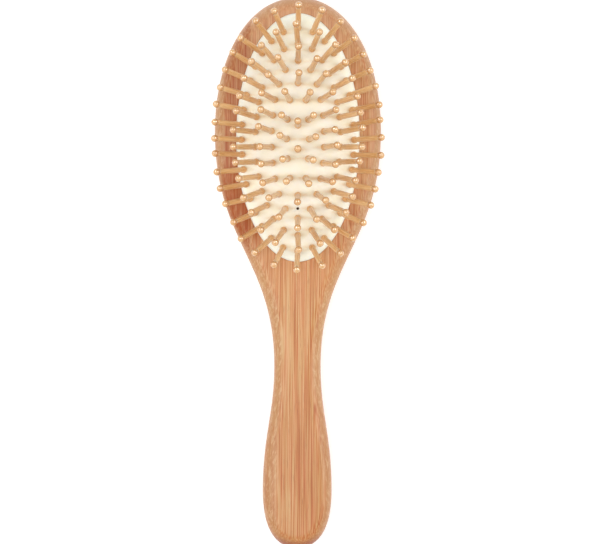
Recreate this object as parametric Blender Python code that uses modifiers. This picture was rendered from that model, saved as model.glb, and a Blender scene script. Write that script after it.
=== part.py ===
"""Oval bamboo paddle brush with a rubber air cushion and 102 turned pins.

The brush lies on its flat back. +Z points out of the cushion, +Y runs from the end of the handle
to the top of the head, and the origin is the middle of the outline, on the surface it lies on.
All lengths are metres.
"""

import math

import bmesh
import bpy
from mathutils import Matrix, Vector

# Board: the one-piece head and handle.
BOARD_LENGTH = 0.2352
BOARD_THICKNESS = 0.0140
EDGE_ROUND = 0.0060
EDGE_SEGMENTS = 4
OUTLINE_RESOLUTION = 10
# Its right half, from the handle's end to the top of the head: half width, distance from the
# handle's end, and the tangent lengths before and after the point.
OUTLINE = (
    (0.0, 0.0, 0.0084, 0.0084),
    (0.0147, 0.0245, 0.0178, 0.0240),
    (0.0099, 0.0777, 0.0206, 0.0449),
    (0.0355, 0.1778, 0.0472, 0.0335),
    (0.0, BOARD_LENGTH, 0.0207, 0.0207),
)

# Recess for the cushion, with an undercut groove that holds the cushion's lip.
MOUTH_HALF_WIDTH = 0.0263
MOUTH_HALF_LENGTH = 0.0529
MOUTH_CENTRE = 0.1751
RECESS_DEPTH = 0.0090
GROOVE_BELOW_FACE = 0.0015
GROOVE_REACH = 0.0025
OVAL_SEGMENTS = 48
CLEARANCE = 0.0003

# Rubber cushion: an air-filled dome with a lip.
DOME_RISE = 0.0076
DOME_FULLNESS = 0.7
DOME_BANDS = 5
RUBBER_THICKNESS = 0.0012
LIP_REACH = 0.0019
VENT_RADIUS = 0.0006
VENT_FROM_END = 0.1447

# Turned pin, measured along its axis from the cushion's outer surface to the ball's centre.
PIN_LENGTH = 0.0180
BALL_RADIUS = 0.0015
BALL_DEGREES = (0, 53, 100)
BALL_TO_STEM = 0.0020
STEM_RADIUS = 0.00115
FOOT_RADIUS = 0.00145
FOOT_LIFT = 0.0006
FOOT_HEIGHT = 0.0012
NECK_RADIUS = 0.0008
FLANGE_RADIUS = 0.0016
FLANGE_DEPTH = 0.0019
FLANGE_THICKNESS = 0.0006
PIN_SIDES = 8
COS_HALF_SIDE = math.cos(math.pi / PIN_SIDES)

# Bar that joins the flanges of a pair of pins, and how far below their tops its middle lies.
WEB_WIDTH = 0.0010
WEB_THICKNESS = 0.0004
WEB_BELOW_FLANGE_TOP = 0.00036

# Pin field: concentric ovals about a centre a little nearer the handle than the mouth's. Each has
# its half width, its half length and its number of pins.
FIELD_CENTRE = 0.1739
OVAL_STEPS = 720
RINGS = {
    "rim": (0.0234, 0.0469, 36),
    "outer": (0.0177, 0.0402, 30),
    "middle": (0.0109, 0.0330, 22),
    "inner": (0.0046, 0.0235, 12),
}
HUB_PINS = {"hub_pin_head": 0.0058, "hub_pin_handle": -0.0044}
# A pin leans outward by this share of its distance from the centre line, and by this share of
# its distance from the field's middle. Each share grows by its growth at the field's ends.
SIDE_LEAN = 0.50
SIDE_LEAN_GROWTH = 0.45
END_LEAN = 0.12
END_LEAN_GROWTH = 0.50
FIELD_HALF_LENGTH = 0.0482

# Share by which a full press flattens the cushion towards the middle of its lip. The pairs of the
# hinged rings stand up as they sink, and the others only sink.
PRESS_SHARE = 0.32
HINGED_RINGS = ("rim", "outer")

# Modelling: points nearer than WELD are one, hole cutters stand this far above the rubber, faces
# that meet at over SHARP_DEGREES stay crisp, and the bevel takes edges over BEVEL_DEGREES.
WELD = 1e-6
CUT_ABOVE = 0.0030
SHARP_DEGREES = 50
BEVEL_DEGREES = 60

FACE_Z = BOARD_THICKNESS
GROOVE_TOP = FACE_Z - GROOVE_BELOW_FACE
LIP_TOP = GROOVE_TOP - CLEARANCE
LIP_MIDDLE = LIP_TOP - RUBBER_THICKNESS / 2
GROOVE_BOTTOM = LIP_TOP - RUBBER_THICKNESS - CLEARANCE
DOME_HALF_WIDTH = MOUTH_HALF_WIDTH - CLEARANCE
DOME_HALF_LENGTH = MOUTH_HALF_LENGTH - CLEARANCE


def from_end(distance):
    """World Y of a place that is this far from the handle's end."""
    return distance - BOARD_LENGTH / 2


def clear_scene():
    for obj in list(bpy.data.objects):
        bpy.data.objects.remove(obj)


def new_collection(name):
    collection = bpy.data.collections.new(name)
    bpy.context.scene.collection.children.link(collection)
    return collection


def finish(name, red, green, blue, roughness):
    """A Principled material with a linear colour."""
    material = bpy.data.materials.new(name)
    material.use_nodes = True
    shader = material.node_tree.nodes["Principled BSDF"]
    shader.inputs["Base Color"].default_value = (red, green, blue, 1.0)
    shader.inputs["Roughness"].default_value = roughness
    shader.inputs["Metallic"].default_value = 0.0
    return material


def place(name, mesh, collection, material=None, matrix=None):
    obj = bpy.data.objects.new(name, mesh)
    collection.objects.link(obj)
    obj.matrix_world = matrix or Matrix()
    if material:
        mesh.materials.clear()
        mesh.materials.append(material)
    return obj


def place_cutter(name, mesh, matrix=None):
    obj = place(name, mesh, cutters, None, matrix)
    obj.hide_render = True
    obj.display_type = "WIRE"
    return obj


def add_boolean(obj, operand, operation):
    modifier = obj.modifiers.new(operand.name, "BOOLEAN")
    modifier.operation = operation
    modifier.object = operand
    modifier.solver = "EXACT"


def shade_round(mesh):
    mesh.shade_smooth()
    mesh.set_sharp_from_angle(angle=math.radians(SHARP_DEGREES))


def evaluated_mesh(obj):
    bpy.context.view_layer.update()
    return bpy.data.meshes.new_from_object(obj.evaluated_get(bpy.context.evaluated_depsgraph_get()))


# ---------------------------------------------------------------- board


def outline_curve():
    """The closed outline of the board, as a filled 2D curve with the board's thickness."""
    right = OUTLINE
    left = OUTLINE[-2:0:-1]
    curve = bpy.data.curves.new("board_outline", "CURVE")
    curve.dimensions = "2D"
    curve.fill_mode = "BOTH"
    curve.extrude = BOARD_THICKNESS / 2
    curve.resolution_u = OUTLINE_RESOLUTION
    spline = curve.splines.new("BEZIER")
    spline.bezier_points.add(len(right) + len(left) - 1)
    spline.use_cyclic_u = True
    sides = [(1, row) for row in right] + [(-1, row) for row in left]
    for point, (side, (half_width, distance, before, after)) in zip(spline.bezier_points, sides):
        centre = Vector((side * half_width, from_end(distance), 0))
        if half_width == 0:
            way = Vector((1 if distance == 0 else -1, 0, 0))
        else:
            way = Vector((0, side, 0))
        if side < 0:
            before, after = after, before
        point.co = centre
        point.handle_left_type = point.handle_right_type = "FREE"
        point.handle_left = centre - way * before
        point.handle_right = centre + way * after
    return curve


def make_board():
    guide = place("board_guide", outline_curve(), cutters)
    guide.location.z = BOARD_THICKNESS / 2
    mesh = evaluated_mesh(guide)
    matrix = guide.matrix_world.copy()
    bpy.data.objects.remove(guide)
    solid = bmesh.new()
    solid.from_mesh(mesh)
    bmesh.ops.remove_doubles(solid, verts=solid.verts, dist=WELD)
    for side in (1, -1):
        level = [face for face in solid.faces if round(face.normal.z) == side]
        bmesh.ops.dissolve_faces(solid, faces=level)
    solid.to_mesh(mesh)
    solid.free()
    board = place("bamboo_body", mesh, parts, bamboo, matrix)
    bevel = board.modifiers.new("edge_round", "BEVEL")
    bevel.width = EDGE_ROUND
    bevel.segments = EDGE_SEGMENTS
    bevel.limit_method = "ANGLE"
    bevel.angle_limit = math.radians(BEVEL_DEGREES)
    shade_round(mesh)
    recess = place_cutter("recess", oval_disc(0, RECESS_DEPTH + CLEARANCE))
    recess.location = (0, from_end(MOUTH_CENTRE), FACE_Z + CLEARANCE)
    groove = place_cutter("lip_groove", oval_disc(GROOVE_REACH, GROOVE_TOP - GROOVE_BOTTOM))
    groove.location = (0, from_end(MOUTH_CENTRE), GROOVE_TOP)
    add_boolean(board, recess, "DIFFERENCE")
    add_boolean(board, groove, "DIFFERENCE")


def oval_disc(reach, depth):
    """An upright disc that follows the mouth's oval at a distance, with its top at z = 0."""
    mesh = bpy.data.meshes.new("oval_disc")
    disc = bmesh.new()
    bmesh.ops.create_cone(
        disc, cap_ends=True, segments=OVAL_SEGMENTS, radius1=1, radius2=1, depth=depth
    )
    bmesh.ops.translate(disc, verts=disc.verts, vec=(0, 0, -depth / 2))
    size = (MOUTH_HALF_WIDTH + reach, MOUTH_HALF_LENGTH + reach, 1)
    bmesh.ops.scale(disc, verts=disc.verts, vec=size)
    disc.to_mesh(mesh)
    disc.free()
    return mesh


# ---------------------------------------------------------------- cushion


def dome_share(x, y):
    """How far (x, y) is from the mouth's centre, as a share of the way to the dome's rim."""
    return math.hypot(x / DOME_HALF_WIDTH, (y - from_end(MOUTH_CENTRE)) / DOME_HALF_LENGTH)


def dome_height(share):
    """Height of the dome above the board's face."""
    return DOME_RISE * (1 - share**2) ** DOME_FULLNESS


def dome_slope(x, y):
    """Steepness of the dome at (x, y), as rise over run."""
    share = dome_share(x, y)
    pull_x = x / DOME_HALF_WIDTH**2
    pull_y = (y - from_end(MOUTH_CENTRE)) / DOME_HALF_LENGTH**2
    fall = 2 * DOME_FULLNESS * DOME_RISE * (1 - share**2) ** (DOME_FULLNESS - 1)
    return fall * math.hypot(pull_x, pull_y)


def make_cushion(roots):
    """The rubber dome, lofted through ovals from its crown to its lip, then given its thickness."""
    sections = []
    for band in range(1, DOME_BANDS + 1):
        share = math.sin(math.pi / 2 * band / DOME_BANDS)
        height = FACE_Z + dome_height(min(share, 1.0))
        sections.append((share * DOME_HALF_WIDTH, share * DOME_HALF_LENGTH, height))
    sections.append((DOME_HALF_WIDTH, DOME_HALF_LENGTH, LIP_TOP))
    sections.append((DOME_HALF_WIDTH + LIP_REACH, DOME_HALF_LENGTH + LIP_REACH, LIP_TOP))
    shell = bmesh.new()
    ring = bmesh.ops.create_circle(shell, cap_ends=True, segments=OVAL_SEGMENTS, radius=1)["verts"]
    crown = bmesh.ops.poke(shell, faces=shell.faces)["verts"][0]
    crown.co.z = FACE_Z + DOME_RISE
    before = (1, 1, 0)
    for section in sections:
        if section is not sections[0]:
            rim = [edge for edge in shell.edges if edge.is_boundary]
            grown = bmesh.ops.extrude_edge_only(shell, edges=rim)["geom"]
            ring = [item for item in grown if isinstance(item, bmesh.types.BMVert)]
        growth = Matrix.Diagonal((section[0] / before[0], section[1] / before[1], 1, 1))
        rise = Matrix.Translation((0, 0, section[2] - before[2]))
        bmesh.ops.transform(shell, matrix=rise @ growth, verts=ring)
        before = section
    bmesh.ops.recalc_face_normals(shell, faces=shell.faces)
    if crown.normal.z < 0:
        bmesh.ops.reverse_faces(shell, faces=shell.faces)
    mesh = bpy.data.meshes.new("rubber_cushion")
    shell.to_mesh(mesh)
    shell.free()
    shade_round(mesh)
    matrix = Matrix.Translation((0, from_end(MOUTH_CENTRE), 0))
    cushion = place("rubber_cushion", mesh, parts, rubber, matrix)
    solidify = cushion.modifiers.new("rubber_thickness", "SOLIDIFY")
    solidify.thickness = RUBBER_THICKNESS
    solidify.offset = -1
    solidify.use_even_offset = True
    add_boolean(cushion, place_cutter("pin_holes", holes_mesh(roots)), "DIFFERENCE")


def holes_mesh(roots):
    """One prism round each pin's neck, with room for it, and one through the vent."""
    holes = bmesh.new()
    for root in roots:
        add_prism(holes, pin_frame(root), NECK_RADIUS + CLEARANCE / COS_HALF_SIDE)
    vent_y = from_end(VENT_FROM_END)
    vent_z = FACE_Z + dome_height(dome_share(0, vent_y))
    add_prism(holes, Matrix.Translation((0, vent_y, vent_z)), VENT_RADIUS)
    mesh = bpy.data.meshes.new("pin_holes")
    holes.to_mesh(mesh)
    holes.free()
    return mesh


def add_prism(target, matrix, radius):
    """A prism from below a pin's flange to above the rubber, about the matrix's Z axis."""
    below = FLANGE_DEPTH + FLANGE_THICKNESS
    upright = Matrix.Translation((0, 0, (CUT_ABOVE - below) / 2))
    bmesh.ops.create_cone(
        target, cap_ends=True, segments=PIN_SIDES, radius1=radius, radius2=radius,
        depth=CUT_ABOVE + below, matrix=matrix @ upright,
    )


# ---------------------------------------------------------------- pins


def oval_points(half_width, half_length, count):
    """Points spaced evenly along an oval about the field's centre, from its top, clockwise."""
    turn = 2 * math.pi / OVAL_STEPS
    fine = [
        Vector((half_width * math.sin(turn * i), half_length * math.cos(turn * i)))
        for i in range(OVAL_STEPS + 1)
    ]
    lengths = [0.0]
    for start, end in zip(fine, fine[1:]):
        lengths.append(lengths[-1] + (end - start).length)
    points = []
    for k in range(count):
        wanted = lengths[-1] * k / count
        i = max(j for j in range(OVAL_STEPS) if lengths[j] <= wanted)
        part = (wanted - lengths[i]) / (lengths[i + 1] - lengths[i])
        points.append(fine[i].lerp(fine[i + 1], part))
    return points


def root_on_dome(point):
    """The place on the cushion's outer surface above a point of the pin field."""
    y = from_end(FIELD_CENTRE) + point.y
    return Vector((point.x, y, FACE_Z + dome_height(dome_share(point.x, y))))


def pin_direction(root):
    """Unit vector from a pin's root to its ball."""
    y = root.y - from_end(FIELD_CENTRE)
    far = (y / FIELD_HALF_LENGTH) ** 2
    side_lean = SIDE_LEAN * (1 + SIDE_LEAN_GROWTH * far**2)
    end_lean = END_LEAN * (1 + END_LEAN_GROWTH * far)
    lean = Vector((side_lean * root.x, end_lean * y, 0))
    lean.z = math.sqrt(PIN_LENGTH**2 - lean.length_squared)
    return lean.normalized()


def pin_frame(root):
    """Matrix that stands a pin, made along +Z, on its root with its lean."""
    way = pin_direction(root)
    side = Vector((0, 1, 0)).cross(way).normalized()
    front = way.cross(side)
    matrix = Matrix((side, front, way)).transposed().to_4x4()
    matrix.translation = root
    return matrix


def turned_pin():
    """The pin's mesh: its half profile, from the ball's top down to the flange, turned about Z."""
    angles = [math.radians(degrees) for degrees in BALL_DEGREES]
    profile = [
        (BALL_RADIUS * math.sin(angle), PIN_LENGTH + BALL_RADIUS * math.cos(angle)) for angle in angles
    ]
    profile += [
        (STEM_RADIUS, PIN_LENGTH - BALL_TO_STEM),
        (STEM_RADIUS, FOOT_LIFT + FOOT_HEIGHT),
        (FOOT_RADIUS, FOOT_LIFT + FOOT_HEIGHT / 2),
        (NECK_RADIUS, FOOT_LIFT),
        (NECK_RADIUS, -FLANGE_DEPTH),
        (FLANGE_RADIUS, -FLANGE_DEPTH - FLANGE_THICKNESS),
        (0.0, -FLANGE_DEPTH - FLANGE_THICKNESS),
    ]
    mesh = bpy.data.meshes.new("pin_profile")
    edges = [(i, i + 1) for i in range(len(profile) - 1)]
    mesh.from_pydata([(radius, 0, z) for radius, z in profile], edges, [])
    guide = place("pin_profile", mesh, cutters)
    screw = guide.modifiers.new("turn", "SCREW")
    screw.steps = screw.render_steps = PIN_SIDES
    screw.use_merge_vertices = True
    screw.merge_threshold = WELD
    turned = evaluated_mesh(guide)
    turned.name = "turned_pin"
    bpy.data.objects.remove(guide)
    shade_round(turned)
    return turned


def make_single(name, root, pin_mesh):
    place(name, pin_mesh, parts, pin_wood, pin_frame(root))


def make_pair(name, roots, pin_mesh, hinged):
    """Two neighbouring pins whose flanges are joined by a web inside the cushion.

    The pair's origin is on the axis it tips about, or midway between its roots if it only sinks.
    """
    home = hinge_frame(roots) if hinged else Matrix.Translation(middle(roots))
    pair = bmesh.new()
    for root in roots:
        one = pin_mesh.copy()
        one.transform(home.inverted() @ pin_frame(root))
        pair.from_mesh(one)
        bpy.data.meshes.remove(one)
    mesh = bpy.data.meshes.new(name)
    pair.to_mesh(mesh)
    pair.free()
    shade_round(mesh)
    obj = place(name, mesh, parts, pin_wood, home)
    add_boolean(obj, make_web(name + "_web", roots), "UNION")


def make_web(name, roots):
    """The flat bar between two pins' flanges."""
    depth = FLANGE_DEPTH + WEB_BELOW_FLANGE_TOP
    start, end = (root - depth * pin_direction(root) for root in roots)
    along = (end - start).normalized()
    up = pin_direction(middle(roots))
    across = up.cross(along).normalized()
    matrix = Matrix((along, across, along.cross(across))).transposed().to_4x4()
    matrix.translation = (start + end) / 2
    mesh = bpy.data.meshes.new(name)
    bar = bmesh.new()
    bmesh.ops.create_cube(bar, size=1)
    size = ((end - start).length, WEB_WIDTH, WEB_THICKNESS)
    bmesh.ops.scale(bar, verts=bar.verts, vec=size)
    bar.to_mesh(mesh)
    bar.free()
    return place_cutter(name, mesh, matrix)


def middle(roots):
    return sum(roots, Vector()) / len(roots)


def press_sink(root):
    """How far a full press lowers the cushion under a pin."""
    return PRESS_SHARE * (root.z - LIP_MIDDLE)


def press_turn(root):
    """Angle by which a full press stands a pin up, as the dome under it flattens."""
    slope = dome_slope(root.x, root.y)
    return math.atan(slope) - math.atan((1 - PRESS_SHARE) * slope)


def hinge_frame(roots):
    """Matrix whose X axis is the level line that a pair of pins tips about.

    Turning about it by press_turn lowers the roots by press_sink and moves them no way sideways.
    """
    root = middle(roots)
    sink = press_sink(root)
    reach = sink / 2 / math.tan(press_turn(root) / 2)
    way = pin_direction(root)
    outward = Vector((way.x, way.y, 0)).normalized()
    axis = outward.cross(Vector((0, 0, 1)))
    matrix = Matrix((axis, Vector((0, 0, 1)).cross(axis), Vector((0, 0, 1)))).transposed().to_4x4()
    matrix.translation = root + reach * outward - Vector((0, 0, sink / 2))
    return matrix


def make_pins(pin_mesh):
    """Fill the field and return every root. Rings of pairs first, then the pins on their own."""
    roots = []
    for ring, (half_width, half_length, count) in RINGS.items():
        ring_roots = [root_on_dome(p) for p in oval_points(half_width, half_length, count)]
        roots += ring_roots
        if ring == "inner":
            for i, root in enumerate(ring_roots):
                make_single(f"{ring}_pin_{i + 1:02d}", root, pin_mesh)
            continue
        for i in range(0, count, 2):
            name = f"{ring}_pins_{i // 2 + 1:02d}"
            make_pair(name, ring_roots[i : i + 2], pin_mesh, ring in HINGED_RINGS)
    for name, y in HUB_PINS.items():
        root = root_on_dome(Vector((0, y)))
        roots.append(root)
        make_single(name, root, pin_mesh)
    return roots


clear_scene()
parts = new_collection("paddle_brush")
cutters = new_collection("cutters")
bamboo = finish("bamboo", 0.630, 0.342, 0.172, 0.45)
rubber = finish("cream_rubber", 0.871, 0.776, 0.591, 0.60)
pin_wood = finish("pin_wood", 0.680, 0.356, 0.145, 0.35)

make_board()
all_roots = make_pins(turned_pin())
make_cushion(all_roots)
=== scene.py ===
"""The looks of an oval bamboo paddle brush: board, rubber air cushion and 102 turned pins."""
import math
import random

import bmesh
import bpy
import numpy as np
from mathutils import Matrix, Vector, noise


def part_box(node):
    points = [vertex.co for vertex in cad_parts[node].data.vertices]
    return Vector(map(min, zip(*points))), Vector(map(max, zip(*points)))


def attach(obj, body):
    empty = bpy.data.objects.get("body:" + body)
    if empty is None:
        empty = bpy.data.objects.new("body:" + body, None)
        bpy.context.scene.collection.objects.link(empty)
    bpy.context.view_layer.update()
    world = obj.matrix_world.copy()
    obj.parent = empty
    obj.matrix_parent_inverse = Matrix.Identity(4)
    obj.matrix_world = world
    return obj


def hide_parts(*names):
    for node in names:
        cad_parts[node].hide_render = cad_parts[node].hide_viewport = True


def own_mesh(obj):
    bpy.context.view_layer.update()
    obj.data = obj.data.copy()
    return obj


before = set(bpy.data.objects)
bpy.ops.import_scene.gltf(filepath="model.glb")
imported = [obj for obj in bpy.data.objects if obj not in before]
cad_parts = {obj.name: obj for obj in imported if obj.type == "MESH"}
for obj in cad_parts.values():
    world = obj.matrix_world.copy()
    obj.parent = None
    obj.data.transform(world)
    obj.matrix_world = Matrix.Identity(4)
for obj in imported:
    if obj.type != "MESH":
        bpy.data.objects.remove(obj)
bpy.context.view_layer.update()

MM = 0.001

# ---------------------------------------------------------------- sizes, as in the CAD

CLEARANCE = 0.3 * MM  # between the cushion and the board

BOARD_LOW, BOARD_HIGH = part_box("bamboo_body")
BOARD_LENGTH = BOARD_HIGH.y - BOARD_LOW.y
FACE_Z = BOARD_HIGH.z
EDGE_ROUND = 6.0 * MM
# Half width, distance from the handle's end, and the tangent lengths before and after the point.
# The curve is level across the two end points and runs lengthwise through the others.
OUTLINE = (
    (0.0, 0.0, 8.4 * MM, 8.4 * MM),
    (14.7 * MM, 24.5 * MM, 17.8 * MM, 24.0 * MM),
    (9.9 * MM, 77.7 * MM, 20.6 * MM, 44.9 * MM),
    (35.5 * MM, 177.8 * MM, 47.2 * MM, 33.5 * MM),
    (0.0, BOARD_LENGTH, 20.7 * MM, 20.7 * MM),
)
MOUTH_HALF_WIDTH = 26.3 * MM
MOUTH_HALF_LENGTH = 52.9 * MM
RECESS_DEPTH = 9.0 * MM
GROOVE_TOP = FACE_Z - 1.5 * MM
GROOVE_HEIGHT = 1.8 * MM
GROOVE_REACH = 2.5 * MM

_, CUSHION_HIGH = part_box("rubber_cushion")
DOME_HALF_WIDTH = MOUTH_HALF_WIDTH - CLEARANCE
DOME_HALF_LENGTH = MOUTH_HALF_LENGTH - CLEARANCE
DOME_RISE = CUSHION_HIGH.z - FACE_Z
DOME_FULLNESS = 0.7  # exponent of the dome's section: 0.5 is an ellipse and 1 a parabola
RUBBER_THICKNESS = 1.2 * MM
LIP_REACH = 1.9 * MM
LIP_TOP = GROOVE_TOP - CLEARANCE
VENT_RADIUS = 0.6 * MM

PIN_LENGTH = 18.0 * MM
BALL_RADIUS = 1.5 * MM
STEM_RADIUS = 1.15 * MM
FOOT_RADIUS = 1.45 * MM
NECK_RADIUS = 0.8 * MM
FLANGE_RADIUS = 1.6 * MM
FLANGE_DEPTH = 1.9 * MM
FLANGE_THICKNESS = 0.6 * MM
# Half width and half length of each oval of pins, and the number of pins on it.
RINGS = {
    "rim": (23.4 * MM, 46.9 * MM, 36),
    "outer": (17.7 * MM, 40.2 * MM, 30),
    "middle": (10.9 * MM, 33.0 * MM, 22),
    "inner": (4.6 * MM, 23.5 * MM, 12),
}
# The two single pins on the centre line, and how far they stand from the field's centre.
HUB_PINS = {"hub_pin_head": 5.8 * MM, "hub_pin_handle": -4.4 * MM}
# How far a pin leans outward for each metre from the field's centre, and how that grows at the ends.
SIDE_LEAN = 0.50
SIDE_LEAN_GROWTH = 0.45
END_LEAN = 0.12
END_LEAN_GROWTH = 0.50
FIELD_HALF_LENGTH = 48.2 * MM


def from_end(distance):
    """World Y of a place that is this far from the handle's end."""
    return BOARD_LOW.y + distance


MOUTH_Y = from_end(175.1 * MM)
FIELD_Y = from_end(173.9 * MM)
VENT_Y = from_end(144.7 * MM)


# ---------------------------------------------------------------- mesh helpers


def linked(name, data):
    """A new object of the scene with this mesh, light or camera."""
    obj = bpy.data.objects.new(name, data)
    bpy.context.scene.collection.objects.link(obj)
    return obj


def new_piece(name, mesh, material, body, replaced):
    """A piece that rides a body, stands for CAD nodes and has its finish."""
    obj = linked(name, mesh)
    mesh.materials.clear()
    mesh.materials.append(material)
    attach(obj, body)
    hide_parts(*replaced)
    return obj


def ring_strip(rings, closed_ends=()):
    """A mesh from equally long rings of points, joined by quads. closed_ends: 0 and/or -1."""
    points = np.concatenate(rings)
    count = len(rings[0])
    faces = []
    for level in range(len(rings) - 1):
        low = level * count
        for i in range(count):
            j = (i + 1) % count
            faces.append((low + i, low + j, low + count + j, low + count + i))
    for end in closed_ends:
        if end == 0:
            faces.append(tuple(reversed(range(count))))
        else:
            first = (len(rings) - 1) * count
            faces.append(tuple(range(first, first + count)))
    mesh = bpy.data.meshes.new("strip")
    mesh.from_pydata(points.tolist(), [], faces)
    return mesh


def applied(obj):
    """The object's mesh with its modifiers applied; the object is removed."""
    bpy.context.view_layer.update()
    depsgraph = bpy.context.evaluated_depsgraph_get()
    mesh = bpy.data.meshes.new_from_object(obj.evaluated_get(depsgraph))
    bpy.data.objects.remove(obj)
    return mesh


def shade(mesh, sharp_degrees):
    """Smooth shading, with the edges that are sharper than this kept crisp."""
    mesh.shade_smooth()
    mesh.set_sharp_from_angle(angle=math.radians(sharp_degrees))


# ---------------------------------------------------------------- board

EDGE_MARGIN = 0.4 * MM  # flat strip of the face and the back inside the rounded edge
MOUTH_ROUND = 0.2 * MM
MOUTH_MARGIN = 0.3 * MM  # flat strip of the face round the mouth
BOARD_SHARP_DEGREES = 35


def outline_samples(per_span):
    """Points and outward unit normals along the board's closed outline."""
    right = [(*row, 1) for row in OUTLINE]
    left = [
        (half_width, distance, after, before, -1)
        for half_width, distance, before, after in OUTLINE[-2:0:-1]
    ]
    anchors = []
    for half_width, distance, before, after, side in right + left:
        if half_width == 0:
            way = np.array((1.0 if distance == 0 else -1.0, 0.0))
        else:
            way = np.array((0.0, float(side)))
        centre = np.array((side * half_width, from_end(distance)))
        anchors.append((centre, centre - way * before, centre + way * after))
    points, normals = [], []
    for k, (start, _, leave) in enumerate(anchors):
        end, arrive, _ = anchors[(k + 1) % len(anchors)]
        for t in np.arange(per_span) / per_span:
            s = 1 - t
            points.append(s**3 * start + 3 * s * s * t * leave + 3 * s * t * t * arrive + t**3 * end)
            slope = s * s * (leave - start) + 2 * s * t * (arrive - leave) + t * t * (end - arrive)
            slope /= np.linalg.norm(slope)
            normals.append((slope[1], -slope[0]))
    return np.array(points), np.array(normals)


def oval_ring(half_width, half_length, z, count):
    """Points of a level oval about the middle of the mouth."""
    turn = 2 * np.pi * np.arange(count) / count
    x = half_width * np.cos(turn)
    y = MOUTH_Y + half_length * np.sin(turn)
    return np.column_stack((x, y, np.full(count, z)))


def mouth_ring(reach, z, count):
    """An oval that follows the recess's mouth at a distance."""
    return oval_ring(MOUTH_HALF_WIDTH + reach, MOUTH_HALF_LENGTH + reach, z, count)


def board_skin(per_span=64, edge_steps=16):
    """The back and the rounded edge, up to a narrow strip of the face."""
    points, normals = outline_samples(per_span)

    def ring(inset, z):
        flat = points - inset * normals
        return np.column_stack((flat, np.full(len(flat), z)))

    rings = [ring(EDGE_ROUND + EDGE_MARGIN, 0.0)]
    quarter = np.linspace(0, np.pi / 2, edge_steps + 1)
    for a in quarter:
        rings.append(ring(EDGE_ROUND * (1 - math.sin(a)), EDGE_ROUND * (1 - math.cos(a))))
    for a in quarter:
        z = FACE_Z - EDGE_ROUND * (1 - math.sin(a))
        rings.append(ring(EDGE_ROUND * (1 - math.cos(a)), z))
    rings.append(ring(EDGE_ROUND + EDGE_MARGIN, FACE_Z))
    return ring_strip(rings, closed_ends=(0,))


def board_recess(count=320, round_steps=6):
    """The recess with its slightly rounded mouth and the groove for the cushion's lip."""
    rings = [mouth_ring(MOUTH_ROUND + MOUTH_MARGIN, FACE_Z, count)]
    for a in np.linspace(0, np.pi / 2, round_steps + 1):
        reach = MOUTH_ROUND * (1 - math.sin(a))
        rings.append(mouth_ring(reach, FACE_Z - MOUTH_ROUND * (1 - math.cos(a)), count))
    for reach, z in (
        (0.0, GROOVE_TOP),
        (GROOVE_REACH, GROOVE_TOP),
        (GROOVE_REACH, GROOVE_TOP - GROOVE_HEIGHT),
        (0.0, GROOVE_TOP - GROOVE_HEIGHT),
        (0.0, FACE_Z - RECESS_DEPTH),
    ):
        rings.append(mouth_ring(reach, z, count))
    return ring_strip(rings, closed_ends=(-1,))


def board_mesh():
    """Skin and recess, joined by the face between them."""
    board = bmesh.new()
    board.from_mesh(board_skin())
    board.from_mesh(board_recess())
    open_edges = [edge for edge in board.edges if edge.is_boundary]
    bmesh.ops.triangle_fill(board, edges=open_edges, use_beauty=True, normal=(0, 0, 1))
    bmesh.ops.recalc_face_normals(board, faces=board.faces)
    mesh = bpy.data.meshes.new("board")
    board.to_mesh(mesh)
    board.free()
    shade(mesh, BOARD_SHARP_DEGREES)
    return mesh


# ---------------------------------------------------------------- pin field

OVAL_STEPS = 720
TILT_SPREAD = math.radians(1.1)
TILT_SEED = 7


def oval_points(half_width, half_length, count):
    """Points spaced evenly along an oval about the field's centre, from its top, clockwise."""
    turn = np.linspace(0, 2 * np.pi, OVAL_STEPS + 1)
    x = half_width * np.sin(turn)
    y = half_length * np.cos(turn)
    lengths = np.concatenate(([0], np.cumsum(np.hypot(np.diff(x), np.diff(y)))))
    wanted = lengths[-1] * np.arange(count) / count
    return np.column_stack((np.interp(wanted, lengths, x), np.interp(wanted, lengths, y) + FIELD_Y))


def dome_share(x, y):
    """0 at the dome's middle to 1 at its edge."""
    return np.hypot(x / DOME_HALF_WIDTH, (y - MOUTH_Y) / DOME_HALF_LENGTH)


def dome_height(share):
    """Height of the dome above the board's face."""
    return DOME_RISE * np.clip(1 - share**2, 0, 1) ** DOME_FULLNESS


def pin_frame(x, y):
    """Matrix that stands a pin, made along +Z, on the dome at (x, y) with its lean."""
    along = y - FIELD_Y
    far = (along / FIELD_HALF_LENGTH) ** 2
    side_lean = SIDE_LEAN * (1 + SIDE_LEAN_GROWTH * far**2)
    end_lean = END_LEAN * (1 + END_LEAN_GROWTH * far)
    lean = Vector((side_lean * x, end_lean * along, 0))
    lean.z = math.sqrt(PIN_LENGTH**2 - lean.length_squared)
    way = lean.normalized()
    side = Vector((0, 1, 0)).cross(way).normalized()
    matrix = Matrix((side, way.cross(side), way)).transposed().to_4x4()
    matrix.translation = (x, y, FACE_Z + float(dome_height(dome_share(x, y))))
    return matrix


def set_by_hand(matrix, chance):
    """The pin's matrix with the small tilt that each pin of a real brush has."""
    tilt = Matrix.Rotation(chance.gauss(0, TILT_SPREAD), 4, "X")
    tilt @= Matrix.Rotation(chance.gauss(0, TILT_SPREAD), 4, "Y")
    return matrix @ tilt


def pin_field():
    """{node name: (body name, [pin matrices])} for the whole field."""
    chance = random.Random(TILT_SEED)
    field = {}
    for ring, (half_width, half_length, count) in RINGS.items():
        frames = [
            set_by_hand(pin_frame(x, y), chance) for x, y in oval_points(half_width, half_length, count)
        ]
        group = 1 if ring == "inner" else 2
        stem = f"{ring}_pin" if group == 1 else f"{ring}_pins"
        for i in range(0, count, group):
            name = f"{stem}_{i // group + 1:02d}"
            field[name] = (name, frames[i : i + group])
    for name, along in HUB_PINS.items():
        field[name] = ("cushion", [pin_frame(0.0, FIELD_Y + along)])
    return field


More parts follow.
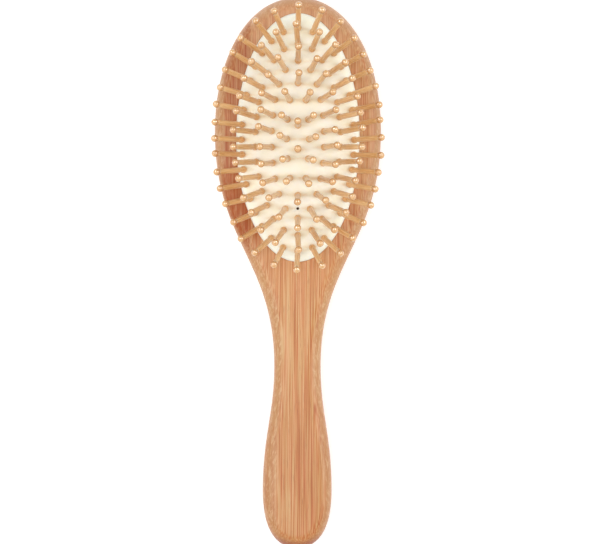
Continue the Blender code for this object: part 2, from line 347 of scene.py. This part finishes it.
FIELD = pin_field()
ALL_FRAMES = [matrix for _, frames in FIELD.values() for matrix in frames]


# ---------------------------------------------------------------- cushion

# A dip round each pin's foot, a sharper crease across it, and a slow swell of the whole dome.
DIMPLE_DEPTH = 0.32 * MM
DIMPLE_HALF_WIDTH = 3.6 * MM
DIMPLE_HALF_LENGTH = 1.7 * MM
CREASE_DEPTH = 0.12 * MM
CREASE_HALF_WIDTH = 4.6 * MM
CREASE_HALF_LENGTH = 0.65 * MM
SWELL_DEPTH = 0.10 * MM
SWELL_SIZE = 9.0 * MM
SWELL_LEVEL = 0.7  # the slice of the noise that is used
OVERLAP_GAIN = 1.2  # how fast dips that overlap come to full depth
EDGE_FADE = 6  # the dips fade out over about the outer tenth of the dome
# The cushion's edge turns down into the mouth and bulges against it, all but closing the clearance.
SNUG_GAP = 0.03 * MM
CUSHION_SHARP_DEGREES = 50


def around_pins(x, y, half_width, half_length):
    """0 on the open rubber to 1 at a pin, falling off over these lengths along X and Y."""
    total = np.zeros_like(x)
    for matrix in ALL_FRAMES:
        root = matrix.translation
        total += np.exp(-(((x - root.x) / half_width) ** 2) - ((y - root.y) / half_length) ** 2)
    return 1 - np.exp(-OVERLAP_GAIN * total)


def dome_rings(segments, bands):
    """Rings of points from the crown to the edge, and how dimpled and creased each point is."""
    turn = 2 * np.pi * np.arange(segments) / segments
    rings, dimples, creases = [], [], []
    for band in range(1, bands + 1):
        share = math.sin(math.pi / 2 * band / bands)
        x = share * DOME_HALF_WIDTH * np.cos(turn)
        y = MOUTH_Y + share * DOME_HALF_LENGTH * np.sin(turn)
        fade = min(1.0, (1 - share**2) * EDGE_FADE)
        dimple = around_pins(x, y, DIMPLE_HALF_WIDTH, DIMPLE_HALF_LENGTH) * fade
        crease = around_pins(x, y, CREASE_HALF_WIDTH, CREASE_HALF_LENGTH) * fade
        swell = np.array(
            [noise.noise((a / SWELL_SIZE, b / SWELL_SIZE, SWELL_LEVEL)) for a, b in zip(x, y)]
        )
        z = FACE_Z + dome_height(share) + SWELL_DEPTH * swell * fade
        z -= DIMPLE_DEPTH * dimple + CREASE_DEPTH * crease
        rings.append(np.column_stack((x, y, z)))
        dimples.append(dimple)
        creases.append(crease)
    return rings, dimples, creases


def lip_rings(segments):
    """Rings of points from the dome's edge down the mouth and out into the groove."""
    snug = MOUTH_HALF_WIDTH - DOME_HALF_WIDTH - SNUG_GAP
    return [
        oval_ring(DOME_HALF_WIDTH + reach, DOME_HALF_LENGTH + reach, z, segments)
        for reach, z in (
            (0.6 * snug, FACE_Z - 0.08 * MM),
            (snug, FACE_Z - 0.25 * MM),
            (snug, FACE_Z - 0.9 * MM),
            (0.0, LIP_TOP + 0.3 * MM),
            (0.0, LIP_TOP),
            (LIP_REACH, LIP_TOP),
        )
    ]


def cushion_skin(segments=288, bands=88):
    """The cushion's outer surface, facing outward, with its dimples and creases as attributes."""
    rings, dimples, creases = dome_rings(segments, bands)
    edge = lip_rings(segments)
    mesh = ring_strip(rings + edge, closed_ends=(0,))
    smooth = [np.zeros(segments)] * len(edge)
    for name, values in (("dimple", dimples + smooth), ("crease", creases + smooth)):
        attribute = mesh.attributes.new(name, "FLOAT", "POINT")
        attribute.data.foreach_set("value", np.concatenate(values).astype(np.float32))
    skin = bmesh.new()
    skin.from_mesh(mesh)
    crown = [face for face in skin.faces if len(face.verts) > 4]
    bmesh.ops.poke(skin, faces=crown)
    bmesh.ops.recalc_face_normals(skin, faces=skin.faces)
    top = max(skin.faces, key=lambda face: face.calc_center_median().z)
    if top.normal.z < 0:
        bmesh.ops.reverse_faces(skin, faces=skin.faces)
    skin.to_mesh(mesh)
    skin.free()
    return mesh


def vent_cutter():
    """An upright rod through the dome, where the air leaves."""
    rod = bmesh.new()
    z = FACE_Z + float(dome_height(dome_share(0.0, VENT_Y)))
    bmesh.ops.create_cone(
        rod,
        cap_ends=True,
        segments=32,
        radius1=VENT_RADIUS,
        radius2=VENT_RADIUS,
        depth=5 * RUBBER_THICKNESS,
        matrix=Matrix.Translation((0, VENT_Y, z)),
    )
    mesh = bpy.data.meshes.new("vent")
    rod.to_mesh(mesh)
    rod.free()
    return linked("vent", mesh)


def cushion_mesh():
    """The skin, thickened inward to the rubber's thickness, with the vent hole."""
    obj = linked("cushion_skin", cushion_skin())
    solidify = obj.modifiers.new("rubber_thickness", "SOLIDIFY")
    solidify.thickness = RUBBER_THICKNESS
    solidify.offset = -1
    cutter = vent_cutter()
    cut = obj.modifiers.new("vent", "BOOLEAN")
    cut.operation = "DIFFERENCE"
    cut.solver = "EXACT"
    cut.object = cutter
    mesh = applied(obj)
    bpy.data.objects.remove(cutter)
    shade(mesh, CUSHION_SHARP_DEGREES)
    return mesh


# ---------------------------------------------------------------- pins

PIN_SIDES = 24
BALL_STEPS = 12
BALL_CREASE = 0.03 * MM  # how far the ball stands out from the stem where they meet
# The stem's waist: share of the pin's length, and radius in mm on a stem of DRAWN_STEM mm.
STEM_ROWS = ((0.90, 0.93), (0.86, 0.92), (0.70, 0.94), (0.45, 0.97), (0.22, 1.0))
DRAWN_STEM = 0.95
# The foot's bulb: height above the rubber in mm, and radius in mm on a foot of DRAWN_FOOT mm.
FOOT_ROWS = (
    (2.75, 1.02),
    (2.35, 1.10),
    (2.0, 1.24),
    (1.65, 1.37),
    (1.3, 1.44),
    (0.95, 1.45),
    (0.6, 1.41),
    (0.25, 1.30),
    (-0.05, 1.14),
    (-0.3, 0.92),
)
DRAWN_FOOT = 1.45
FLANGE_CHAMFER = 0.1 * MM
PIN_SHARP_DEGREES = 60
# Each pin's own coordinates are set this far from the last one's, so that no two grains are alike.
GRAIN_STEP = 10 * MM


def pin_profile():
    """Radius and height of the turned pin, from the ball's top to the flange."""
    rows = []
    neck_angle = math.asin((STEM_RADIUS + BALL_CREASE) / BALL_RADIUS)
    for a in np.linspace(0.0, math.pi - neck_angle, BALL_STEPS + 1)[1:]:
        rows.append((BALL_RADIUS * math.sin(a), PIN_LENGTH + BALL_RADIUS * math.cos(a)))
    rows += [(radius * STEM_RADIUS / DRAWN_STEM, PIN_LENGTH * share) for share, radius in STEM_ROWS]
    rows += [(radius * FOOT_RADIUS / DRAWN_FOOT, height * MM) for height, radius in FOOT_ROWS]
    rows += [
        (NECK_RADIUS, -0.5 * MM),
        (NECK_RADIUS, -FLANGE_DEPTH),
        (FLANGE_RADIUS - FLANGE_CHAMFER, -FLANGE_DEPTH - 0.05 * MM),
        (FLANGE_RADIUS, -FLANGE_DEPTH - FLANGE_THICKNESS / 2),
        (FLANGE_RADIUS - FLANGE_CHAMFER, -FLANGE_DEPTH - FLANGE_THICKNESS),
    ]
    return rows


def pin_arrays():
    """Points, in the pin's own frame, and faces of one turned pin."""
    profile = pin_profile()
    turn = 2 * np.pi * np.arange(PIN_SIDES) / PIN_SIDES
    points = [(0.0, 0.0, PIN_LENGTH + BALL_RADIUS)]
    for radius, z in profile:
        points += [(radius * math.cos(a), radius * math.sin(a), z) for a in turn]
    points.append((0.0, 0.0, profile[-1][1]))
    faces = []
    for i in range(PIN_SIDES):
        j = (i + 1) % PIN_SIDES
        faces.append((0, 1 + i, 1 + j))
        for level in range(len(profile) - 1):
            low = 1 + level * PIN_SIDES
            faces.append((low + i, low + PIN_SIDES + i, low + PIN_SIDES + j, low + j))
        low = 1 + (len(profile) - 1) * PIN_SIDES
        faces.append((low + i, len(points) - 1, low + j))
    return np.array(points), faces


PIN_POINTS, PIN_FACES = pin_arrays()


def pins_mesh(name, frames, first_number):
    """One mesh of pins, with each pin's own coordinates kept for its grain."""
    points, faces, local = [], [], []
    for k, matrix in enumerate(frames):
        rotation = np.array(matrix.to_3x3())
        points.append(PIN_POINTS @ rotation.T + np.array(matrix.translation))
        faces += [tuple(v + k * len(PIN_POINTS) for v in face) for face in PIN_FACES]
        shift = np.array((GRAIN_STEP * (first_number + k), 0.0, 0.0))
        local.append(PIN_POINTS + shift)
    mesh = bpy.data.meshes.new(name)
    mesh.from_pydata(np.concatenate(points).tolist(), [], faces)
    attribute = mesh.attributes.new("pin_place", "FLOAT_VECTOR", "POINT")
    attribute.data.foreach_set("vector", np.concatenate(local).astype(np.float32).ravel())
    shade(mesh, PIN_SHARP_DEGREES)
    return mesh


# ---------------------------------------------------------------- materials


class Finish:
    """A Principled material and short calls for the nodes that drive it."""

    def __init__(self, name):
        self.material = bpy.data.materials.new(name)
        self.material.use_nodes = True
        self.tree = self.material.node_tree
        self.shader = self.tree.nodes["Principled BSDF"]

    def set(self, name, value):
        """Feed one of the shader's sockets."""
        self.feed(self.shader.inputs[name], value)

    def feed(self, socket, value):
        """Link a node's output to the socket, or set a plain number or colour on it."""
        if isinstance(value, bpy.types.NodeSocket):
            self.tree.links.new(value, socket)
        elif isinstance(value, tuple) and len(value) == 3 and socket.type == "RGBA":
            socket.default_value = (*value, 1.0)
        else:
            socket.default_value = value

    def node(self, kind, inputs=(), **settings):
        """A new node with these inputs, by name or number, and these settings."""
        made = self.tree.nodes.new(kind)
        for key, value in settings.items():
            setattr(made, key, value)
        for key, value in dict(inputs).items():
            self.feed(made.inputs[key], value)
        return made

    def place(self):
        return self.node("ShaderNodeTexCoord").outputs["Object"]

    def normal(self):
        return self.node("ShaderNodeTexCoord").outputs["Normal"]

    def attribute(self, name, output="Fac"):
        return self.node("ShaderNodeAttribute", attribute_name=name).outputs[output]

    def split(self, vector):
        return self.node("ShaderNodeSeparateXYZ", {"Vector": vector}).outputs

    def math(self, operation, a, b=0.0, c=0.0):
        return self.node("ShaderNodeMath", {0: a, 1: b, 2: c}, operation=operation).outputs[0]

    def product(self, first, *others):
        for other in others:
            first = self.math("MULTIPLY", first, other)
        return first

    def grain(self, vector, across, along, deep, turn=0.0, detail=3.0, rough=0.55, warp=0.0):
        """Noise whose features are across x along x deep millimetres, turned about Z."""
        size = (1 / (across * MM), 1 / (along * MM), 1 / (deep * MM))
        turned = self.node(
            "ShaderNodeMapping", {"Vector": vector, "Rotation": (0, 0, turn)}
        ).outputs[0]
        mapped = self.node("ShaderNodeMapping", {"Vector": turned, "Scale": size}).outputs[0]
        return self.node(
            "ShaderNodeTexNoise",
            {"Vector": mapped, "Scale": 1.0, "Detail": detail, "Roughness": rough, "Distortion": warp},
        ).outputs["Fac"]

    def drift(self, vector, size, amount):
        """The vector, moved by about amount millimetres in slow waves of that size."""
        mapped = self.node("ShaderNodeMapping", {"Vector": vector, "Scale": (1 / (size * MM),) * 3})
        waves = self.node("ShaderNodeTexNoise", {"Vector": mapped.outputs[0], "Scale": 1.0, "Detail": 1.0})
        centred = self.node(
            "ShaderNodeVectorMath", {0: waves.outputs["Color"], 1: (0.5, 0.5, 0.5)}, operation="SUBTRACT"
        )
        return self.node(
            "ShaderNodeVectorMath",
            {0: centred.outputs[0], 1: (amount * 2 * MM,) * 3, 2: vector},
            operation="MULTIPLY_ADD",
        ).outputs[0]

    def range(self, value, low, high, to_low=0.0, to_high=1.0):
        """A smooth step from to_low, where the value is low or less, to to_high."""
        return self.node(
            "ShaderNodeMapRange",
            {"Value": value, "From Min": low, "From Max": high, "To Min": to_low, "To Max": to_high},
            interpolation_type="SMOOTHSTEP",
        ).outputs[0]

    def band(self, value, rise_from, rise_to, fall_from, fall_to):
        """1 between rise_to and fall_from, and smoothly down to 0 on both sides."""
        return self.product(
            self.range(value, rise_from, rise_to), self.range(value, fall_from, fall_to, 1, 0)
        )

    def ramp(self, value, stops):
        """A colour for the value, from (place, colour) stops."""
        made = self.node("ShaderNodeValToRGB", {"Fac": value})
        elements = made.color_ramp.elements
        while len(elements) < len(stops):
            elements.new(0.5)
        for element, (place, colour) in zip(elements, stops):
            element.position = place
            element.color = (*colour, 1.0)
        return made.outputs["Color"]

    def mix(self, share, a, b, blend="MIX"):
        """Colour a, with this share of colour b mixed in."""
        made = self.node("ShaderNodeMix", data_type="RGBA", blend_type=blend)
        colour_a, colour_b, result = made.inputs[6], made.inputs[7], made.outputs[2]
        self.feed(made.inputs["Factor"], share)
        self.feed(colour_a, a)
        self.feed(colour_b, b)
        return result

    def bump(self, height, strength, distance, under=None):
        made = self.node(
            "ShaderNodeBump", {"Height": height, "Strength": strength, "Distance": distance}
        )
        if under:
            self.feed(made.inputs["Normal"], under)
        return made.outputs[0]


def srgb(red, green, blue):
    """Linear colour of an 8-bit sRGB one."""
    return tuple(
        c / 12.92 if c <= 0.04045 else ((c + 0.055) / 1.055) ** 2.4
        for c in (red / 255, green / 255, blue / 255)
    )


def upright_grain(finish, place, tone, dash):
    """Colour of the fibres that run along the board, with short dark dashes."""
    colour = finish.ramp(
        tone,
        (
            (0.35, srgb(183, 104, 50)),
            (0.45, srgb(201, 132, 75)),
            (0.52, srgb(211, 154, 98)),
            (0.61, srgb(221, 177, 128)),
        ),
    )
    blush = finish.grain(place, 2.0, 26, 2.0, detail=1)
    blush = finish.ramp(blush, ((0.38, srgb(255, 246, 240)), (0.62, srgb(250, 252, 240))))
    colour = finish.mix(1.0, colour, blush, blend="MULTIPLY")
    return finish.mix(finish.range(dash, 0.62, 0.76, 0, 0.5), colour, srgb(150, 84, 42))


def slanting_ply(finish, place, upright):
    """Colour of the ply that the rounded edge cuts at a slant, mirrored about the centre line."""
    side = finish.range(finish.split(finish.place())[0], -1.5 * MM, 1.5 * MM)
    soft_flecks = finish.mix(
        side,
        finish.grain(place, 0.9, 3.8, 0.9, turn=0.34, detail=2, warp=0.3),
        finish.grain(place, 0.9, 3.8, 0.9, turn=-0.34, detail=2, warp=0.3),
    )
    fibre_ends = finish.mix(
        side,
        finish.grain(place, 0.22, 1.7, 0.22, turn=0.42, detail=1),
        finish.grain(place, 0.22, 1.7, 0.22, turn=-0.42, detail=1),
    )
    colour = finish.mix(0.55, upright, srgb(199, 149, 98))
    colour = finish.mix(finish.range(soft_flecks, 0.50, 0.68, 0, 0.58), colour, srgb(228, 190, 144))
    colour = finish.mix(finish.range(soft_flecks, 0.32, 0.48, 0.35, 0), colour, srgb(194, 130, 74))
    return finish.mix(finish.range(fibre_ends, 0.56, 0.72, 0, 0.42), colour, srgb(172, 108, 58))


def top_ply_share(finish, from_middle):
    """1 where the outer ply shows, on the face and the back, to 0 on the edge below it."""
    x, y, _ = finish.split(finish.place())
    wobble = finish.grain(finish.place(), 8.0, 24.0, 8.0, detail=2)
    wobble = finish.range(wobble, 0.3, 0.7, -0.35 * MM, 0.35 * MM)
    lean = finish.range(x, -12 * MM, 12 * MM, 0, 0.35 * MM)
    left_of_handle = finish.product(
        finish.range(x, -10.2 * MM, -6.8 * MM, -1.0 * MM, 0),
        finish.range(y, from_end(80 * MM), from_end(125 * MM), 1, 0),
    )
    lean = finish.math("ADD", lean, left_of_handle)
    depth = finish.math("ADD", finish.math("ADD", from_middle, wobble), lean)
    return finish.range(depth, FACE_Z / 2 - 1.0 * MM, FACE_Z / 2 - 0.15 * MM)


def cross_ply(finish, place, colour, from_middle):
    """The middle ply, whose fibres run across the board, and its two glue lines."""
    fibres = finish.grain(place, 18, 0.30, 0.42, detail=2, rough=0.5)
    broad = finish.grain(place, 30, 6.0, 1.6, detail=1)
    tone = finish.math("MULTIPLY_ADD", fibres, 0.6, finish.math("MULTIPLY", broad, 0.4))
    ply = finish.ramp(
        tone, ((0.38, srgb(178, 116, 66)), (0.5, srgb(200, 140, 88)), (0.62, srgb(212, 160, 108)))
    )
    colour = finish.mix(finish.range(from_middle, 2.25 * MM, 2.40 * MM, 1, 0), colour, ply)
    glue = finish.math("ABSOLUTE", finish.math("SUBTRACT", from_middle, 2.33 * MM))
    return finish.mix(finish.range(glue, 0.02 * MM, 0.08 * MM, 0.5, 0), colour, srgb(140, 84, 48))


def along_the_board(finish, colour):
    """Darker cut ends, a slow change of tint from the handle to the head, and a paler top."""
    y = finish.split(finish.place())[1]
    faces_end = finish.math("ABSOLUTE", finish.split(finish.normal())[1])
    cut_end = finish.product(
        finish.range(faces_end, 0.30, 0.85),
        finish.range(y, from_end(20 * MM), from_end(215 * MM), 0.85, 0.10),
    )
    colour = finish.mix(cut_end, colour, srgb(196, 118, 62), blend="MULTIPLY")
    tint = finish.ramp(
        finish.range(y, BOARD_LOW.y, BOARD_HIGH.y),
        (
            (0.10, srgb(236, 227, 223)),
            (0.30, srgb(243, 241, 239)),
            (0.55, srgb(245, 243, 244)),
            (0.80, srgb(239, 240, 249)),
        ),
    )
    colour = finish.mix(1.0, colour, tint, blend="MULTIPLY")
    pale_top = finish.range(y, from_end(200 * MM), from_end(228 * MM), 0, 0.30)
    return finish.mix(pale_top, colour, srgb(223, 174, 137))


def left_head_strip(finish, fine):
    """How dark the streaky strip is that runs down the left of the head."""
    x, _, z = finish.split(finish.place())
    return finish.product(
        finish.band(x, -32.6 * MM, -30.4 * MM, -20.8 * MM, -19.6 * MM),
        finish.range(z, 9.4 * MM, 12.4 * MM),
        finish.range(fine, 0.38, 0.60, 0.66, 0.30),
    )


def red_patch(finish):
    """1 in the reddish patch at the lower left of the head, to 0 outside it."""
    x, y, z = finish.split(finish.place())
    ends = (from_end(distance * MM) for distance in (124, 138, 150, 172))
    return finish.product(
        finish.band(y, *ends),
        finish.range(z, 8.0 * MM, 12.4 * MM),
        finish.range(x, -17.5 * MM, -14.5 * MM, 1, 0),
    )


def bamboo():
    """Laminated bamboo under a thin satin lacquer."""
    finish = Finish("bamboo")
    place = finish.drift(finish.place(), 36, 0.28)
    fine = finish.grain(place, 0.30, 40, 0.30, detail=1.5, rough=0.5)
    middle = finish.grain(place, 0.80, 55, 0.80, detail=2)
    broad = finish.grain(place, 4.5, 120, 4.5, detail=2)
    tone = finish.math("MULTIPLY_ADD", fine, 0.66, finish.math("MULTIPLY", middle, 0.23))
    tone = finish.math("MULTIPLY_ADD", broad, 0.11, tone)
    dash = finish.grain(place, 0.22, 6, 0.22, detail=1)
    height = finish.split(finish.place())[2]
    from_middle = finish.math("ABSOLUTE", finish.math("SUBTRACT", height, FACE_Z / 2))

    upright = upright_grain(finish, place, tone, dash)
    slanting = slanting_ply(finish, place, upright)
    colour = finish.mix(top_ply_share(finish, from_middle), slanting, upright)
    colour = cross_ply(finish, place, colour, from_middle)
    colour = along_the_board(finish, colour)
    # A dark streaky strip down the left of the head.
    colour = finish.mix(left_head_strip(finish, fine), colour, srgb(160, 76, 24))
    # Reddish streaks in the patch at the lower left of the head.
    patch = red_patch(finish)
    red_streaks = finish.product(patch, finish.range(middle, 0.35, 0.60, 0.84, 0.40))
    colour = finish.mix(red_streaks, colour, srgb(158, 70, 16))

    finish.set("Base Color", colour)
    finish.set("Roughness", finish.range(fine, 0.3, 0.7, 0.46, 0.36))
    finish.set("Coat Weight", finish.range(patch, 0, 1, 0.10, 0.0))
    finish.set("Specular IOR Level", finish.range(patch, 0, 1, 0.5, 0.25))
    finish.set("Coat Roughness", 0.30)
    under = finish.bump(tone, 0.35, 0.05 * MM)
    finish.set("Normal", finish.bump(dash, 0.25, 0.03 * MM, under))
    return finish.material


def rubber():
    """Soft cream rubber, with painted shade that makes it yellower in the dimples and creases at the pins'
    feet.
    """
    finish = Finish("cream_rubber")
    place = finish.place()
    cloud = finish.grain(place, 6, 6, 6, detail=3)
    speck = finish.grain(place, 0.35, 0.35, 0.35, detail=2)
    colour = finish.ramp(cloud, ((0.35, srgb(253, 252, 231)), (0.65, srgb(254, 255, 242))))
    # Painted shade: a tan tint where the dimples round the pins' feet are deep.
    dimple = finish.attribute("dimple")
    colour = finish.mix(finish.range(dimple, 0.1, 1.0, 0, 0.44), colour, srgb(242, 222, 172))
    # Painted shade: patchy tan lines along the creases that join neighbouring pins.
    patchy = finish.range(finish.grain(place, 3.0, 3.0, 3.0, detail=2), 0.35, 0.65, 0.15, 0.75)
    crease = finish.product(finish.range(finish.attribute("crease"), 0.1, 1.0), patchy)
    colour = finish.mix(crease, colour, srgb(230, 194, 140))
    colour = finish.mix(finish.range(speck, 0.60, 0.75, 0, 0.08), colour, srgb(214, 190, 150))
    finish.set("Base Color", colour)
    finish.set("Roughness", finish.range(cloud, 0.3, 0.7, 0.52, 0.62))
    finish.set("Subsurface Weight", 0.12)
    finish.set("Subsurface Radius", (1.0, 0.9, 0.6))
    finish.set("Subsurface Scale", 1.2 * MM)
    finish.set("Normal", finish.bump(speck, 0.25, 0.03 * MM))
    return finish.material


def pin_wood():
    """Turned wood with a glossier ball that is darker at its tip, with painted shade round the ball's
    middle and at the foot.
    """
    finish = Finish("pin_wood")
    place = finish.attribute("pin_place", "Vector")
    height = finish.split(place)[2]
    streak = finish.grain(place, 0.30, 0.30, 6.0, detail=2, rough=0.6)
    broad = finish.grain(place, 5.0, 5.0, 30.0, detail=1)
    tone = finish.math("MULTIPLY_ADD", streak, 0.55, finish.math("MULTIPLY", broad, 0.45))
    colour = finish.ramp(
        tone,
        (
            (0.36, srgb(200, 145, 84)),
            (0.46, srgb(220, 174, 116)),
            (0.54, srgb(229, 189, 134)),
            (0.66, srgb(240, 206, 157)),
        ),
    )
    # Painted shade: the foot and the stem just above it are darker near the rubber.
    foot = finish.range(height, 0.4 * MM, 3.0 * MM, 0.30, 0)
    colour = finish.mix(foot, colour, srgb(206, 142, 86))
    tip = finish.range(height, PIN_LENGTH + 0.6 * MM, PIN_LENGTH + BALL_RADIUS, 0, 0.66)
    colour = finish.mix(tip, colour, srgb(216, 164, 108))
    # Painted shade: a darker band round the middle of the ball and the stem just under it.
    ring = finish.product(
        finish.range(height, PIN_LENGTH + 0.35 * MM, PIN_LENGTH + 1.2 * MM, 0.60, 0),
        finish.range(height, PIN_LENGTH - 1.2 * MM, PIN_LENGTH - 0.7 * MM),
    )
    colour = finish.mix(ring, colour, srgb(178, 110, 52))
    finish.set("Base Color", colour)
    under_ball = (PIN_LENGTH - 2.0 * MM, PIN_LENGTH - 1.0 * MM)
    finish.set("Roughness", finish.range(height, *under_ball, 0.34, 0.18))
    finish.set("Coat Weight", finish.range(height, *under_ball, 0.45, 0.9))
    finish.set("Coat Roughness", 0.06)
    finish.set("Normal", finish.bump(streak, 0.15, 0.02 * MM))
    return finish.material


# ---------------------------------------------------------------- the object


def add_board(material):
    new_piece("board", board_mesh(), material, "body", ["bamboo_body"])


def add_cushion(material):
    """The cushion, with a mesh of its own."""
    cushion = new_piece("cushion", cushion_mesh(), material, "body", ["rubber_cushion"])
    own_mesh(cushion)


def add_pins(material):
    """All the pins, in a collection of their own for the glint lights."""
    pins = bpy.data.collections.new("pins")
    bpy.context.scene.collection.children.link(pins)
    number = 0
    for node, (body, frames) in FIELD.items():
        mesh = pins_mesh(node, frames, number)
        pin = new_piece(f"{node}_turned", mesh, material, body, [node])
        pins.objects.link(pin)
        bpy.context.scene.collection.objects.unlink(pin)
        number += len(frames)
    return pins


# ---------------------------------------------------------------- floor, light and camera

FLOOR_DROP = 0.2 * MM  # keeps the board's flat back off the floor
FLOOR_HALF_SIZE = 3.0
PAPER_GREYS = (0.80, 0.82)
PAPER_GLOW = 0.5

# Name, place, size and power of each lamp. They all face LIGHT_AIM.
LIGHT_AIM = (0, 0.03, 0)
SOFTBOXES = (
    ("key_right", (0.80, 0.02, 0.60), (0.50, 0.70), 3.29),
    ("fill_left", (-0.78, -0.12, 0.60), (0.50, 0.70), 2.12),
    ("panel", (-0.30, -0.10, 1.30), (0.5, 1.2), 5.72),
)
GLINTS = (
    ("glint_left", (-0.50, 0.34, 0.66), (0.34, 0.34), 7.0),
    ("glint_right", (0.50, 0.30, 0.66), (0.34, 0.34), 7.0),
)
SURROUND_STRENGTH = 0.615

CAMERA_DISTANCE = 1.0
CAMERA_OFFSET = (1.01 * MM, 0.28 * MM)
CAMERA_ROLL = math.radians(0.12)
VIEW_WIDTH = 256.8 * MM  # at the camera's distance
SENSOR_WIDTH = 36


def floor():
    """Pale paper that glows a little, so that it looks white all round the brush."""
    finish = Finish("pale_floor")
    mottle = finish.grain(finish.place(), 300, 300, 300, detail=2)
    dark, light = ((grey,) * 3 for grey in PAPER_GREYS)
    paper = finish.ramp(mottle, ((0.3, dark), (0.7, light)))
    finish.set("Base Color", paper)
    finish.set("Roughness", 0.9)
    finish.set("Emission Color", paper)
    finish.set("Emission Strength", PAPER_GLOW)
    mesh = bpy.data.meshes.new("floor")
    plane = bmesh.new()
    bmesh.ops.create_grid(plane, x_segments=1, y_segments=1, size=FLOOR_HALF_SIZE)
    plane.to_mesh(mesh)
    plane.free()
    mesh.materials.append(finish.material)
    obj = linked("floor", mesh)
    obj.location.z = -FLOOR_DROP


def area_light(name, place, size, power):
    light = bpy.data.lights.new(name, "AREA")
    light.shape = "RECTANGLE"
    light.size, light.size_y = size
    light.energy = power
    obj = linked(name, light)
    obj.location = place
    way = Vector(LIGHT_AIM) - Vector(place)
    obj.rotation_euler = way.to_track_quat("-Z", "Y").to_euler()
    return obj


def studio(pins):
    """Soft lamps for everything, and small ones that are only bright reflections in the pins."""
    for lamp in SOFTBOXES:
        area_light(*lamp)
    for lamp in GLINTS:
        glint = area_light(*lamp)
        glint.visible_diffuse = False
        glint.light_linking.receiver_collection = pins
    world = bpy.data.worlds.new("studio")
    world.use_nodes = True
    background = world.node_tree.nodes["Background"]
    background.inputs["Color"].default_value = (1, 1, 1, 1)
    background.inputs["Strength"].default_value = SURROUND_STRENGTH
    bpy.context.scene.world = world
    bpy.context.scene.view_settings.view_transform = "Standard"


def camera():
    """Straight above the brush, as in a catalogue view, a metre from the middle of the board."""
    lens = bpy.data.cameras.new("camera")
    lens.sensor_width = SENSOR_WIDTH
    lens.lens = SENSOR_WIDTH * CAMERA_DISTANCE / VIEW_WIDTH
    obj = linked("camera", lens)
    obj.location = (*CAMERA_OFFSET, FACE_Z / 2 + CAMERA_DISTANCE)
    obj.rotation_euler.z = CAMERA_ROLL
    bpy.context.scene.camera = obj


add_board(bamboo())
add_cushion(rubber())
pin_collection = add_pins(pin_wood())
floor()
studio(pin_collection)
camera()
